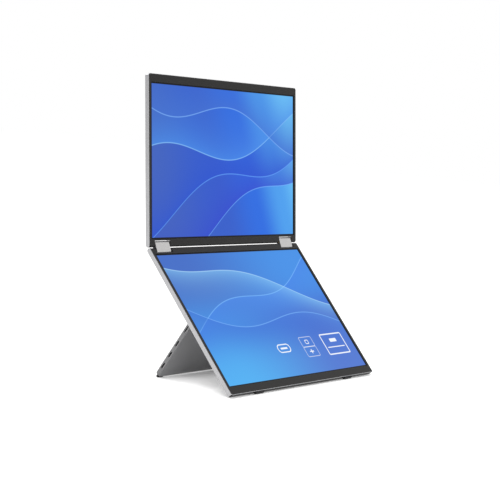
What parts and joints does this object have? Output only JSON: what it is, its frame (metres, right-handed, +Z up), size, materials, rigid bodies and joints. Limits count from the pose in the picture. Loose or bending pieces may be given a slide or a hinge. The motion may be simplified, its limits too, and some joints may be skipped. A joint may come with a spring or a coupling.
{
  "type": "stacked folding dual-screen display",
  "caption": "Stacked portable displays joined by geared double-axis hinges, on a plate stand hinged behind the lower one, with sockets and keys in the stand's side edges.",
  "frame": {"origin": "on the surface it stands on, under the middle of its bounding box", "axes": "+Z up, +X to the user's right, -Y towards the user"},
  "size_m": [0.3142, 0.1742, 0.3716],
  "materials": {
    "silver_shell": "bead-blasted and anodised, satin",
    "hinge_silver": "satin",
    "hinge_dark": "black oxide, satin",
    "dark_bezel": "fine matte",
    "screen": "anti-glare, lit picture behind it",
    "backlight": "plain sheet",
    "tape": "foam tape",
    "screw_steel": "fine",
    "circuit_board": "solder mask",
    "flat_cable": "polyimide film",
    "rubber": "matte",
    "gear_brass": "cut",
    "shaft_steel": "ground",
    "bracket_steel": "stamped",
    "socket_metal": "nickel plated",
    "key_silver": "satin"
  },
  "bodies": {
    "lower_display": {"lower_back_cover": "silver_shell", "lower_bezel": "dark_bezel", "lower_screen_glass": "screen", "lower_backlight_unit": "backlight", "lower_panel_tapes": "tape", "lower_driver_board": "circuit_board", "lower_signal_cable": "flat_cable", "lower_hinge_bracket_left": "bracket_steel", "lower_hinge_bracket_right": "bracket_steel", "lower_hinge_shaft_left": "shaft_steel", "lower_hinge_shaft_right": "shaft_steel", "lower_bracket_screws": "screw_steel", "lower_hinge_nuts": "bracket_steel", "display_feet": "rubber", "stand_bracket_left": "bracket_steel", "stand_bracket_right": "bracket_steel", "stand_bracket_screws": "screw_steel"},
    "hinge_blocks": {"hinge_cap_left": "hinge_silver", "hinge_cap_right": "hinge_silver", "hinge_plates_left": "hinge_dark", "hinge_plates_right": "hinge_dark", "disc_springs_left": "bracket_steel", "disc_springs_right": "bracket_steel"},
    "lower_idlers": {"lower_idler_gears": "gear_brass"},
    "upper_idlers": {"upper_idler_gears": "gear_brass"},
    "upper_display": {"upper_back_cover": "silver_shell", "upper_bezel": "dark_bezel", "upper_screen_glass": "screen", "upper_backlight_unit": "backlight", "upper_panel_tapes": "tape", "upper_driver_board": "circuit_board", "upper_signal_cable": "flat_cable", "upper_hinge_bracket_left": "bracket_steel", "upper_hinge_bracket_right": "bracket_steel", "upper_hinge_shaft_left": "shaft_steel", "upper_hinge_shaft_right": "shaft_steel", "upper_bracket_screws": "screw_steel", "upper_hinge_nuts": "bracket_steel"},
    "stand": {"stand_housing": "silver_shell", "stand_front_cover": "silver_shell", "main_board": "circuit_board", "usb_c_socket_1": "socket_metal", "usb_c_socket_2": "socket_metal", "usb_c_socket_3": "socket_metal", "mini_hdmi_socket": "socket_metal", "key_board": "circuit_board", "key_cable": "flat_cable", "stand_pin_left": "shaft_steel", "stand_pin_right": "shaft_steel", "stand_feet": "rubber", "stand_cover_screws": "screw_steel", "board_screws": "screw_steel"},
    "power_key": {"power_key": "key_silver"},
    "menu_key_up": {"menu_key_up": "key_silver"},
    "menu_key_down": {"menu_key_down": "key_silver"}
  },
  "joints": [
    {"name": "block_fold", "type": "hinge", "parent": "lower_display", "child": "hinge_blocks", "pos_m": [0, 0.05699, 0.15649], "axis": [1, 0, 0], "range_deg": [-18.05, 71.95]},
    {"name": "upper_fold", "type": "hinge", "parent": "hinge_blocks", "child": "upper_display", "pos_m": [0, 0.06008, 0.16322], "axis": [1, 0, 0], "range_deg": [-18.05, 71.95]},
    {"name": "lower_idler_turn", "type": "hinge", "parent": "hinge_blocks", "child": "lower_idlers", "pos_m": [0, 0.05802, 0.15873], "axis": [1, 0, 0], "range_deg": [-18.05, 71.95]},
    {"name": "upper_idler_turn", "type": "hinge", "parent": "hinge_blocks", "child": "upper_idlers", "pos_m": [0, 0.05905, 0.16098], "axis": [1, 0, 0], "range_deg": [-71.95, 18.05]},
    {"name": "stand_fold", "type": "hinge", "parent": "lower_display", "child": "stand", "pos_m": [0, -0.00428, 0.08036], "axis": [1, 0, 0], "range_deg": [-74.7, 15.3]},
    {"name": "power_key_press", "type": "slide", "parent": "stand", "child": "power_key", "axis": [-1, 0, 0], "range_m": [0, 0.0005], "stiffness_N_per_m": 1500, "springref_m": -0.0003},
    {"name": "menu_key_up_press", "type": "slide", "parent": "stand", "child": "menu_key_up", "axis": [-1, 0, 0], "range_m": [0, 0.0005], "stiffness_N_per_m": 1500, "springref_m": -0.0003},
    {"name": "menu_key_down_press", "type": "slide", "parent": "stand", "child": "menu_key_down", "axis": [-1, 0, 0], "range_m": [0, 0.0005], "stiffness_N_per_m": 1500, "springref_m": -0.0003}
  ],
  "couplings": [
    {"joint": "upper_fold", "follows": "block_fold", "ratio": 1},
    {"joint": "lower_idler_turn", "follows": "block_fold", "ratio": 1},
    {"joint": "upper_idler_turn", "follows": "block_fold", "ratio": -1}
  ]
}
